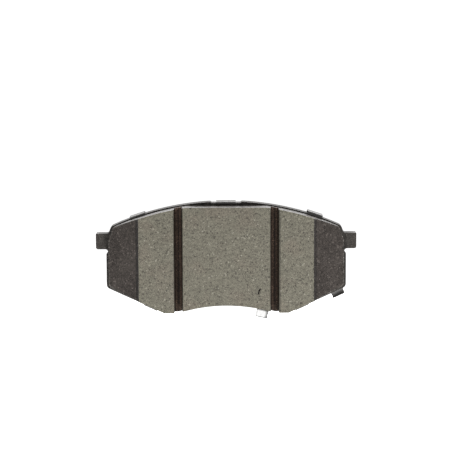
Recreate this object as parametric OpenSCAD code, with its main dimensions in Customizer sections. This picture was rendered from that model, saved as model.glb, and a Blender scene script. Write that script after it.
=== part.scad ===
// Disc brake pad for a floating caliper, lying on its back.
// X runs along the pad, Y points away from the wheel centre, Z points at the disc.
// The origin is on the rear face of the cover shim, where the piston pushes.

/* [Overall] */
// Width over the two ears
overall_w = 138; // [136:0.5:140]
// Width of the plate between the ears
body_w = 127; // [125:0.5:128]
// Height of the top arc's crest above the origin line
crest_y = 30; // [29.5:0.1:30.5]
// Thickness of the whole pad, shims included
overall_t = 17.3; // [15.5:0.1:19]

/* [Plate outline] */
// Thickness of the steel backing plate
plate_t = 6.5; // [5.5:0.1:7]
// Radius of the long top arc
top_r = 148; // [140:1:156]
// Radius of the lower arc, over the wheel hub
lower_r = 84; // [80:0.5:88]
// Depth of the lower arc's crest below the origin line
lower_crest_y = 25; // [24.5:0.1:25.5]
// Depth of the short level edges beside the lower arc
toe_y = 29; // [28.7:0.1:29.4]
// Slope of the lower slanted edges, in degrees
slant_angle = 24.7; // [23:0.1:26]
// Half width where the slanted edge passes slant_y
slant_x = 53.5; // [53:0.1:54]
// Depth of the slanted edge at slant_x
slant_y = 20.4; // [20:0.1:20.8]
// Half width of the shallow recess at the crest
recess_half_w = 7.6; // [7:0.1:9]
// Depth of the shallow recess below the crest
recess_depth = 0.8; // [0.5:0.1:1]
// Radius of the rounded shoulders
shoulder_r = 3; // [2:0.25:4]
// Radius of the lower side corners
lower_corner_r = 2.5; // [1.5:0.25:3]

/* [Ears] */
// Height of an ear along Y
ear_h = 8.35; // [7.8:0.05:8.8]
// Height of the ears' underside above the origin line
ear_y = 4.7; // [4:0.1:5]
// Radius of the relief under each ear
relief_r = 1.3; // [1:0.1:1.5]
// Radius of the ear's lower outer corner
ear_corner_r = 1.2; // [0.8:0.1:1.5]

/* [Friction block] */
// Thickness of the bond film
bond_t = 0.1; // [0.1:0.05:0.2]
// Thickness of the moulded underlayer
underlayer_t = 1.9; // [1.5:0.1:2.2]
// Half width of the flat friction face
face_half_w = 46.05; // [44:0.05:48]
// Width of each slot
slot_w = 4.2; // [3.5:0.1:5]
// Distance of each slot from the middle
slot_x = 25.4; // [24.5:0.1:26]
// How far the pair of slots sits off the middle
slot_offset = 0.15; // [0:0.05:0.3]
// Height of the face's level top edge
face_top_y = 27.8; // [27.5:0.1:28]
// Margin between plate and block along the top arc
top_margin = 0.65; // [0.5:0.05:1]
// Margin along the sides
side_margin = 1.3; // [1:0.1:1.6]
// Margin along the slanted edges
slant_margin = 1.5; // [1.2:0.05:1.6]
// Margin along the lower arc and the level edges
lower_margin = 0.75; // [0.7:0.05:1.2]

/* [Shims] */
// Thickness of the steel cover shim
cover_t = 0.4; // [0.3:0.05:0.5]
// Thickness of each steel sheet of the damping shim
sheet_t = 0.3; // [0.25:0.05:0.35]
// Thickness of each rubber, damping and adhesive film
film_t = 0.1; // [0.1:0.01:0.12]
// Gap between a clip tab and the plate's edge
tab_gap = 0.25; // [0.1:0.05:0.3]
// How far a clip tab hooks over the plate's front
tab_hook = 0.4; // [0.3:0.05:0.45]

/* [Wear indicator] */
// Width of the spring strip
strip_w = 6.3; // [5:0.1:6.5]
// Thickness of the spring strip
strip_t = 0.8; // [0.6:0.1:0.8]
// Height of the foot's tip above the plate's front
foot_rise = 2.5; // [2:0.1:3]
// Length of the foot
foot_length = 4.4; // [3:0.1:5]
// Lean of the strip, in degrees
strip_angle = 12; // [11:0.5:13]

/* [Hidden] */
$fn = 96;

// Levels along Z, from the rear face to the friction face
outer_rubber_z = cover_t;
outer_steel_z = outer_rubber_z + film_t;
damping_z = outer_steel_z + sheet_t;
core_z = damping_z + film_t;
inner_rubber_z = core_z + sheet_t;
adhesive_z = inner_rubber_z + film_t;
plate_z = adhesive_z + film_t;
front_z = plate_z + plate_t;
underlayer_z = front_z + bond_t;
lining_z = underlayer_z + underlayer_t;
face_z = overall_t;

// Outline centres and slopes
body_half = body_w / 2;
top_centre = [0, crest_y - top_r];
lower_centre = [0, -lower_crest_y - lower_r];
slant_dir = [cos(slant_angle), sin(slant_angle)];
slant_normal = [sin(slant_angle), -cos(slant_angle)];
ear_top_y = ear_y + ear_h;
ear_root_x = body_half - 2.5;
shoulder_lean = 70;
shoulder_foot_x = body_half - 1.2;
shoulder_dir = [-cos(shoulder_lean), sin(shoulder_lean)];
shoulder_normal = [sin(shoulder_lean), cos(shoulder_lean)];
ear_fillet_r = 1.4;
ear_edge_r = 0.3;
relief_out = 0.45;
far = 200;
// Rounding arcs are a touch larger or smaller than tangent ones, so that they cross their edges cleanly
over = 1.01;
under = 0.97;
overshoot = 0.4;

// Friction block
chamfer_step_w = 1.5;
chamfer_step_h = 1.2;
chamfer_root_rise = 0.3;
slot_floor_t = 1;
slot_edge = 0.45;
plug_r = 5;
plug_places = [[-44, 2], [-16, 4], [16, 4], [44, 2]];

// Shims
cover_inset = 1.4;
damping_inset = 2.4;
bend_r = 0.6;
strip_clearance = 0.6;
window_half_w = 4.5;
window_r = 2.2;
window_places = [[-32, 3, 78], [32, 3, -78], [-15, -13, 12], [-15, 19, -8], [15, 19, 8]];
top_tab_w = 8.3;
crest_tab_w = 10.3;
toe_tab_w = 7.7;
top_tab_x = 46.9;
loose_tab = 0.6;
toe_tab_x = 40.2;
stop_tab_w = 6.9;
stop_tab_x = 58.65;
stop_tab_reach = 4.05;
stop_tab_lip = 1.6;

// Wear indicator
strip_origin = [19.45, -27.35];
strip_gap = 0.3;
strip_bend_r = 1.1;
rivet_y = 9.4;
rivet_r = 1.6;
rivet_head_r = 2.6;
strip_z = plate_z - strip_t;
countersink_t = 1;
foot_z = front_z + foot_rise;

function unit(v) = v / norm(v);

// A point beyond a corner, on the far side from the centre of the arc that rounds it.
function past(corner, centre) = corner + (corner - centre) * overshoot;

// Waste between a corner and the arc that rounds it. a and b are the ways along the two edges.
module corner_waste(corner, a, b, r) {
    half = acos(a * b) / 2;
    centre = corner + unit(a + b) * r / sin(half);
    reach = r / tan(half);
    difference() {
        polygon([corner + a * reach, past(corner, centre), corner + b * reach]);
        translate(centre) circle(r * over);
    }
}

// Half plane beyond a line through p moved in by m, with n pointing out of the pad.
module beyond(p, n, m = 0) {
    translate(p - n * m) rotate(atan2(-n[0], n[1])) translate([-far, 0]) square([2 * far, far]);
}

// Signed area of the parallelogram on two vectors.
function cross2(a, b) = a[0] * b[1] - a[1] * b[0];

// Where two lines cross, each given by a point and its way.
function crossing(p, a, q, b) = p + a * cross2(q - p, b) / cross2(a, b);

// Centre of the arc that is tangent to the top arc and the shoulder line, each moved in by its margin.
function shoulder_centre(top_m, side_m) = let(
        q = [shoulder_foot_x, ear_top_y] - shoulder_normal * (side_m + shoulder_r),
        w = q - top_centre,
        b = w * shoulder_dir,
        c = w * w - pow(top_r - top_m - shoulder_r, 2)
    ) q + shoulder_dir * (-b + sqrt(b * b - c));

// Waste outside the rounded shoulder.
module shoulder_waste(top_m, side_m) {
    c = shoulder_centre(top_m, side_m);
    out = unit(c - top_centre);
    on_top = c + out * shoulder_r;
    on_side = c + shoulder_normal * shoulder_r;
    corner = crossing(on_top, [out[1], -out[0]], on_side, shoulder_dir);
    difference() {
        polygon([on_top, past(corner, c), on_side]);
        translate(c) circle(shoulder_r * over);
    }
}

// Waste at the lower corner of one side.
module side_waste(side_m, slant_m) {
    side = body_half - side_m;
    edge = [slant_x, -slant_y] - slant_normal * slant_m;
    corner = crossing(edge, slant_dir, [side, 0], [0, 1]);
    corner_waste(corner, [0, 1], -slant_dir, lower_corner_r);
}

// The pad's body without ears, with each edge moved in by its own margin.
module body_outline(top_m, side_m, slant_m, lower_m) {
    difference() {
        intersection() {
            translate(top_centre) circle(top_r - top_m, $fn = 360);
            translate([-(body_half - side_m), -toe_y + lower_m])
                square([2 * (body_half - side_m), crest_y + toe_y]);
        }
        translate(lower_centre) circle(lower_r + lower_m, $fn = 360);
        for (side = [0, 1])
            mirror([side, 0]) {
                beyond([slant_x, -slant_y], slant_normal, slant_m);
                beyond([shoulder_foot_x, ear_top_y], shoulder_normal, side_m);
                shoulder_waste(top_m, side_m);
                side_waste(side_m, slant_m);
            }
    }
}

// One ear on the +X side, with rounded corners and a concave fillet up to the shoulder.
module ear_outline() {
    tip = overall_w / 2;
    foot = [shoulder_foot_x, ear_top_y];
    along = [1, 0];
    half = acos(shoulder_dir * along) / 2;
    centre = foot + unit(shoulder_dir + along) * ear_fillet_r / sin(half);
    reach = ear_fillet_r / tan(half);
    difference() {
        polygon([
            [ear_root_x, ear_y],
            [tip, ear_y],
            [tip, ear_top_y],
            foot + along * reach,
            foot + shoulder_dir * reach,
            [ear_root_x, foot[1] + shoulder_dir[1] * reach]
        ]);
        translate(centre) circle(ear_fillet_r * under);
        corner_waste([tip, ear_y], [0, 1], [-1, 0], ear_corner_r);
        corner_waste([tip, ear_top_y], [0, -1], [-1, 0], ear_edge_r);
    }
}

module plate_outline() {
    difference() {
        union() {
            body_outline(0, 0, 0, 0);
            for (side = [0, 1])
                mirror([side, 0]) ear_outline();
        }
        for (side = [0, 1])
            mirror([side, 0]) translate([body_half + relief_out, ear_y - relief_r]) circle(relief_r);
        // Shallow recess with ramped ends
        polygon([
            [-recess_half_w - recess_depth, crest_y + 1],
            [-recess_half_w, crest_y - recess_depth],
            [recess_half_w, crest_y - recess_depth],
            [recess_half_w + recess_depth, crest_y + 1]
        ]);
    }
}

// The friction block's outline at its root.
module block_outline() {
    intersection() {
        body_outline(top_margin, side_margin, slant_margin, lower_margin);
        translate([-far, -far]) square([2 * far, far + face_top_y]);
    }
}

// The place of the wear indicator, with -Y pointing off the pad.
module at_strip() {
    translate(strip_origin) rotate(-strip_angle) children();
}

// Clear space round the strip's base in the shims.
module strip_cutout() {
    half = strip_w / 2 + strip_clearance;
    at_strip() {
        translate([0, rivet_y]) circle(half);
        translate([-half, -rivet_y]) square([2 * half, 2 * rivet_y]);
    }
}

// A damping shim layer's outline.
module damping_outline() {
    m = damping_inset;
    difference() {
        body_outline(m, m, m, m);
        strip_cutout();
    }
}

module shim_layer(z, t) {
    translate([0, 0, z]) linear_extrude(t) damping_outline();
}

// Round-ended window through the cover shim.
module window(place) {
    translate([place[0], place[1]]) rotate(place[2]) {
        translate([-window_half_w, -window_r]) square([2 * window_half_w, 2 * window_r]);
        for (side = [-1, 1])
            translate([side * window_half_w, 0]) circle(window_r);
    }
}

// Places a child on the plate's edge with +Y pointing out of the pad.
module on_top_edge(x) {
    translate(top_centre) rotate(-asin(x / top_r)) translate([0, top_r]) children();
}

module on_slant_edge(x, side) {
    edge = [slant_x, -slant_y] + slant_dir * (x - slant_x) / cos(slant_angle);
    translate([side * edge[0], edge[1]]) rotate(side * (180 + slant_angle)) children();
}

// A clip tab: the sheet runs out past the edge, forward along it and hooks over the front.
// depth is how far the edge lies inside the local origin line, and loose is how far the tab is bent out.
module clip_tab(width, depth = 0, loose = 0) {
    inner = tab_gap + loose - depth;
    outer = inner + cover_t;
    top = front_z + cover_t;
    translate([-width / 2, 0, 0]) rotate([90, 0, 90]) linear_extrude(width) difference() {
        union() {
            translate([-cover_inset - 1, 0]) square([outer + cover_inset + 1, cover_t]);
            translate([inner, 0]) square([cover_t, top]);
            translate([-depth - tab_hook, front_z]) square([outer + depth + tab_hook, cover_t]);
        }
        corner_waste([outer, 0], [-1, 0], [0, 1], bend_r);
        corner_waste([outer, top], [-1, 0], [0, -1], bend_r);
    }
}

// The stop tab stands straight out from the edge, and its tip turns forward.
module stop_tab() {
    translate([-stop_tab_w / 2, 0, 0]) rotate([90, 0, 90]) linear_extrude(stop_tab_w) difference() {
        union() {
            translate([-cover_inset - 1, 0])
                square([stop_tab_reach + cover_inset + 1, cover_t]);
            translate([stop_tab_reach - cover_t, 0])
                square([cover_t, cover_t + stop_tab_lip]);
        }
        corner_waste([stop_tab_reach, 0], [-1, 0], [0, 1], bend_r);
    }
}

module cover_shim() {
    color("dimgray") {
        linear_extrude(cover_t) difference() {
            body_outline(cover_inset, cover_inset, cover_inset, cover_inset);
            strip_cutout();
            for (place = window_places)
                window(place);
        }
        on_top_edge(0) clip_tab(crest_tab_w, recess_depth);
        for (side = [-1, 1]) {
            on_top_edge(side * top_tab_x) clip_tab(top_tab_w, 0, side > 0 ? loose_tab : 0);
            on_slant_edge(toe_tab_x, side) clip_tab(toe_tab_w);
        }
        on_slant_edge(stop_tab_x, 1) stop_tab();
    }
}

module shim_outer_rubber() {
    color([0.12, 0.12, 0.12]) shim_layer(outer_rubber_z, film_t);
}

module shim_outer_steel() {
    color("silver") shim_layer(outer_steel_z, sheet_t);
}

module shim_damping_layer() {
    color([0.25, 0.23, 0.2]) shim_layer(damping_z, film_t);
}

module shim_core() {
    color("silver") shim_layer(core_z, sheet_t);
}

module shim_inner_rubber() {
    color([0.12, 0.12, 0.12]) shim_layer(inner_rubber_z, film_t);
}

module shim_adhesive() {
    color([0.75, 0.7, 0.55]) shim_layer(adhesive_z, film_t);
}

module backing_plate() {
    color([0.2, 0.19, 0.19]) difference() {
        translate([0, 0, plate_z]) linear_extrude(plate_t) plate_outline();
        for (place = plug_places)
            translate([place[0], place[1], plate_z - 1]) cylinder(r = plug_r, h = plate_t + 2);
        at_strip() translate([0, rivet_y, plate_z - 1]) cylinder(r = rivet_r, h = plate_t + 2);
        at_strip() translate([0, rivet_y, front_z - countersink_t])
            cylinder(r1 = rivet_r, r2 = rivet_r + countersink_t, h = countersink_t);
    }
}

module bond_film() {
    color([0.55, 0.42, 0.2]) translate([0, 0, front_z]) linear_extrude(bond_t) difference() {
        block_outline();
        for (place = plug_places)
            translate(place) circle(plug_r);
    }
}

module underlayer() {
    color([0.33, 0.31, 0.27]) {
        translate([0, 0, underlayer_z]) linear_extrude(underlayer_t) block_outline();
        for (place = plug_places)
            translate([place[0], place[1], plate_z])
                cylinder(r = plug_r, h = underlayer_z - plate_z + underlayer_t / 2);
    }
}

// The waste beyond one end chamfer: a short steep step, then a long slope to the root.
module chamfer_waste() {
    root_x = body_half - side_margin;
    root_z = lining_z + chamfer_root_rise;
    rotate([90, 0, 0]) linear_extrude(far, center = true) polygon([
        [face_half_w, face_z],
        [face_half_w + chamfer_step_w, face_z - chamfer_step_h],
        [root_x, root_z],
        [root_x + 5, root_z],
        [root_x + 5, face_z + 1],
        [face_half_w, face_z + 1]
    ]);
}

// A slot with small chamfers along its mouth.
module slot_waste() {
    half = slot_w / 2;
    rotate([90, 0, 0]) linear_extrude(far, center = true) polygon([
        [-half, lining_z + slot_floor_t],
        [half, lining_z + slot_floor_t],
        [half, face_z - slot_edge],
        [half + slot_edge, face_z],
        [half + slot_edge, face_z + 1],
        [-half - slot_edge, face_z + 1],
        [-half - slot_edge, face_z],
        [-half, face_z - slot_edge]
    ]);
}

module friction_lining() {
    color([0.48, 0.46, 0.41]) difference() {
        translate([0, 0, lining_z]) linear_extrude(face_z - lining_z) block_outline();
        for (side = [-1, 1])
            translate([slot_offset + side * slot_x, 0, 0]) slot_waste();
        for (side = [0, 1])
            mirror([side, 0, 0]) chamfer_waste();
    }
}

// The strip's profile: base behind the plate, leg round its edge, foot turned out at the front.
module strip_profile() {
    inner = -strip_gap;
    outer = inner - strip_t;
    difference() {
        union() {
            translate([outer, strip_z]) square([rivet_y - outer, strip_t]);
            translate([outer, strip_z]) square([strip_t, foot_z - strip_z]);
            translate([inner - foot_length, foot_z - strip_t]) square([foot_length, strip_t]);
        }
        corner_waste([outer, strip_z], [1, 0], [0, 1], strip_bend_r);
        corner_waste([inner, foot_z], [-1, 0], [0, -1], strip_bend_r);
    }
}

module wear_indicator() {
    color([0.8, 0.8, 0.78]) at_strip() difference() {
        union() {
            translate([-strip_w / 2, 0, 0]) rotate([90, 0, 90]) linear_extrude(strip_w) strip_profile();
            translate([0, rivet_y, strip_z]) cylinder(r = strip_w / 2, h = strip_t);
        }
        translate([0, rivet_y, strip_z - 1]) cylinder(r = rivet_r, h = strip_t + 2);
    }
}

module indicator_rivet() {
    color([0.7, 0.7, 0.68]) at_strip() translate([0, rivet_y, 0]) {
        cylinder(r = rivet_head_r, h = strip_z);
        cylinder(r = rivet_r, h = front_z);
        translate([0, 0, front_z - countersink_t])
            cylinder(r1 = rivet_r, r2 = rivet_r + countersink_t, h = countersink_t);
    }
}

cover_shim();
shim_outer_rubber();
shim_outer_steel();
shim_damping_layer();
shim_core();
shim_inner_rubber();
shim_adhesive();
backing_plate();
bond_film();
underlayer();
friction_lining();
wear_indicator();
indicator_rivet();
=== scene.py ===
"""Disc brake pad: a slotted friction block on an eared steel plate, with layered shims and a wear spring.

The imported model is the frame. Each class below holds the sizes of one group of pieces in millimetres,
builds its meshes, dresses them and rides them on the pad's one body. MERGE is the distance at which
points become one. A cutting shape runs PAST the shape that it cuts, or BEYOND the whole pad.
"""

import logging
import math
import random
from collections.abc import Callable, Iterable, Sequence
from dataclasses import dataclass, field
from enum import Enum

import bmesh
import bpy
from mathutils import Matrix, Vector, kdtree, noise


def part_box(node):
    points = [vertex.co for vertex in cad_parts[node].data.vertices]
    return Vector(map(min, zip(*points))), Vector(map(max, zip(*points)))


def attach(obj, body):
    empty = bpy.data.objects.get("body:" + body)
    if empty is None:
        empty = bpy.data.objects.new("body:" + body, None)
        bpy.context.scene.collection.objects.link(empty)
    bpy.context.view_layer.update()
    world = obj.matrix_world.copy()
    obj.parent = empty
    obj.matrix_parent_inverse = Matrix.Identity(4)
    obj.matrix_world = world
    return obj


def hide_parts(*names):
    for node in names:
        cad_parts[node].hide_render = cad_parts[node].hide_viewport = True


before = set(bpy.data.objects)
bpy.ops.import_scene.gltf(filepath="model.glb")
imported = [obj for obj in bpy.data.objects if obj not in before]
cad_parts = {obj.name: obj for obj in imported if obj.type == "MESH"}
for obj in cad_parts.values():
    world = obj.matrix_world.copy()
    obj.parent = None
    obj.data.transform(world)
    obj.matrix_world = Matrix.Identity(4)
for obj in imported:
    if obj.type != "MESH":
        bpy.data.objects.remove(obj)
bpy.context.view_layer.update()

log = logging.getLogger("brake_pad")

MM = 0.001
MERGE = 1e-4
PAST = 1.0
BEYOND = 40.0
ROUND_SEGMENTS = 64
BODY = "root"

Point = tuple[float, float]
Corner = tuple[float, float, float]
Colour = tuple[float, float, float, float]


class Join(Enum):
    """How two solids are combined."""

    UNION = "UNION"
    DIFFERENCE = "DIFFERENCE"
    INTERSECT = "INTERSECT"


class Axis(Enum):
    """The axis that a row of cuts runs along, as an index into a coordinate."""

    X = 0
    Y = 1


def along_y() -> Matrix:
    """Turns a slab drawn in the XZ plane so that its height runs along Y."""
    return Matrix.Rotation(math.radians(90), 4, "X")


def along_x() -> Matrix:
    """Turns a slab drawn in the YZ plane so that its height runs along X."""
    return Matrix(((0, 0, 1, 0), (1, 0, 0, 0), (0, 1, 0, 0), (0, 0, 0, 1)))


def rounded(corners: Sequence[Corner], segments: int = 6) -> list[Point]:
    """Rounds the corners of a closed outline.

    Args:
        corners: Each corner's x, y and rounding radius, where 0 keeps it sharp.
        segments: Number of chords in each rounding arc.

    Returns:
        The outline's points in the same order.
    """
    points: list[Point] = []
    for index, (x, y, radius) in enumerate(corners):
        here = Vector((x, y))
        if radius <= 0:
            points.append((x, y))
            continue
        before = (Vector(corners[index - 1][:2]) - here).normalized()
        after = (Vector(corners[(index + 1) % len(corners)][:2]) - here).normalized()
        half = before.angle(after) / 2
        centre = here + (before + after).normalized() * radius / math.sin(half)
        start = here + before * radius / math.tan(half) - centre
        turn = (math.pi - 2 * half) * (1 if before.cross(after) < 0 else -1)
        for step in range(segments + 1):
            arm = Matrix.Rotation(turn * step / segments, 2) @ start
            points.append(tuple(centre + arm))
    return points


class Solid:
    """A closed mesh under construction, in millimetres."""

    def __init__(self, mesh: bpy.types.Mesh | None = None) -> None:
        """Starts empty, or from a copy of a mesh with its loose triangles merged.

        Args:
            mesh: The mesh to copy, in metres.
        """
        self.bm = bmesh.new()
        if mesh is not None:
            self.bm.from_mesh(mesh)
            bmesh.ops.scale(self.bm, vec=Vector((1 / MM,) * 3), verts=self.bm.verts)
            bmesh.ops.remove_doubles(self.bm, verts=self.bm.verts, dist=MERGE)

    @classmethod
    def slab(
        cls, outline: Sequence[Point], low: float, high: float, turn: Matrix | None = None
    ) -> "Solid":
        """Extrudes an outline.

        Args:
            outline: Closed outline in the XY plane.
            low: Height of the lower face.
            high: Height of the upper face.
            turn: Rotation given to the finished slab.

        Returns:
            The slab as a new solid.
        """
        made = cls()
        face = made.bm.faces.new([made.bm.verts.new((x, y, low)) for x, y in outline])
        grown = bmesh.ops.extrude_face_region(made.bm, geom=[face])
        top = [v for v in grown["geom"] if isinstance(v, bmesh.types.BMVert)]
        bmesh.ops.translate(made.bm, verts=top, vec=(0, 0, high - low))
        open_edges = [e for e in made.bm.edges if e.is_boundary]
        if open_edges:
            bmesh.ops.holes_fill(made.bm, edges=open_edges, sides=0)
        bmesh.ops.recalc_face_normals(made.bm, faces=made.bm.faces)
        if turn is not None:
            made.transform(turn)
        return made

    @classmethod
    def disc(
        cls, x: float, y: float, low: float, high: float, radius: float, top: float | None = None
    ) -> "Solid":
        """Makes an upright cylinder or cone.

        Args:
            x: Place of its axis along X.
            y: Place of its axis along Y.
            low: Height of its lower face.
            high: Height of its upper face.
            radius: Radius of its lower face.
            top: Radius of its upper face, the same as radius if left out.

        Returns:
            The cylinder as a new solid.
        """
        made = cls()
        place = Matrix.Translation((x, y, (low + high) / 2))
        bmesh.ops.create_cone(
            made.bm,
            cap_ends=True,
            segments=ROUND_SEGMENTS,
            radius1=radius,
            radius2=radius if top is None else top,
            depth=high - low,
            matrix=place,
        )
        return made

    def transform(self, matrix: Matrix) -> "Solid":
        """Moves the whole solid and returns it."""
        bmesh.ops.transform(self.bm, matrix=matrix, verts=self.bm.verts)
        return self

    def object(self, name: str, scale: float = 1.0) -> bpy.types.Object:
        """Turns the solid into a scene object.

        Args:
            name: Name of the object.
            scale: Factor from millimetres to the object's units.

        Returns:
            The linked object. The solid's own mesh is freed.
        """
        bmesh.ops.scale(self.bm, vec=Vector((scale,) * 3), verts=self.bm.verts)
        mesh = bpy.data.meshes.new(name)
        self.bm.to_mesh(mesh)
        self.bm.free()
        made = bpy.data.objects.new(name, mesh)
        bpy.context.scene.collection.objects.link(made)
        return made

    def combine(self, other: "Solid", how: Join) -> "Solid":
        """Joins, cuts or intersects this solid with another, which is used up.

        Args:
            other: The second solid.
            how: The way they are combined.

        Returns:
            This solid, with the result in it.
        """
        target, tool = self.object("target"), other.object("tool")
        change = target.modifiers.new("combine", "BOOLEAN")
        change.operation = how.value
        change.solver = "EXACT"
        change.object = tool
        evaluated = target.evaluated_get(bpy.context.evaluated_depsgraph_get())
        result = bpy.data.meshes.new_from_object(evaluated)
        self.bm = bmesh.new()
        self.bm.from_mesh(result)
        for used in (target, tool):
            bpy.data.objects.remove(used)
        bpy.data.meshes.remove(result)
        return self

    def bevel(self, width: float, segments: int, limit: float) -> "Solid":
        """Rounds the sharp edges.

        Args:
            width: Width of each bevel from the old edge.
            segments: Number of faces across it.
            limit: Edges over this angle, in degrees, are rounded.

        Returns:
            This solid.
        """
        sharp = [e for e in self.bm.edges if e.calc_face_angle(0) > math.radians(limit)]
        bmesh.ops.bevel(
            self.bm,
            geom=sharp,
            offset=width,
            offset_type="OFFSET",
            segments=segments,
            profile=0.5,
            affect="EDGES",
            material=-1,
            clamp_overlap=True,
        )
        return self

    def slice(
        self, faces: Iterable[bmesh.types.BMFace], axis: Axis, places: Sequence[float]
    ) -> list[bmesh.types.BMFace]:
        """Cuts faces into strips.

        Args:
            faces: The faces to cut.
            axis: The axis that the cuts follow each other along.
            places: Coordinates of the cuts.

        Returns:
            The faces that result.
        """
        normal = Vector((1, 0, 0)) if axis is Axis.X else Vector((0, 1, 0))
        kept = list(faces)
        for place in places:
            crossing = []
            for face in kept:
                reach = [v.co[axis.value] for v in face.verts]
                if min(reach) < place < max(reach):
                    crossing.append(face)
            if not crossing:
                continue
            crossed = set(crossing)
            left = [face for face in kept if face not in crossed]
            around = dict.fromkeys(part for face in crossing for part in (*face.edges, *face.verts))
            cut = bmesh.ops.bisect_plane(
                self.bm, geom=[*crossing, *around], plane_co=normal * place, plane_no=normal
            )
            made = [g for g in cut["geom"] if isinstance(g, bmesh.types.BMFace)]
            kept = [*left, *made]
        return kept

    def deliver(
        self, name: str, slot: str, material: bpy.types.Material, *nodes: str, sharp: float = 35.0
    ) -> bpy.types.Object:
        """Makes the finished piece and rides it on the pad.

        Args:
            name: Name of the piece.
            slot: Name of the record's material slot; not used.
            material: Its material.
            nodes: The frame's nodes that it stands for.
            sharp: Edges over this angle, in degrees, stay sharp in shading.

        Returns:
            The piece.
        """
        bmesh.ops.remove_doubles(self.bm, verts=self.bm.verts, dist=MERGE)
        piece = self.object(name, MM)
        mesh = piece.data
        mesh.materials.append(material)
        for polygon in mesh.polygons:
            polygon.use_smooth = True
        mesh.set_sharp_from_angle(angle=math.radians(sharp))
        even = piece.modifiers.new("flat_faces", "WEIGHTED_NORMAL")
        even.weight = 100
        even.keep_sharp = True
        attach(piece, BODY)
        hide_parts(*nodes)
        log.info("%s: %d faces", name, len(mesh.polygons))
        return piece


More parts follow.
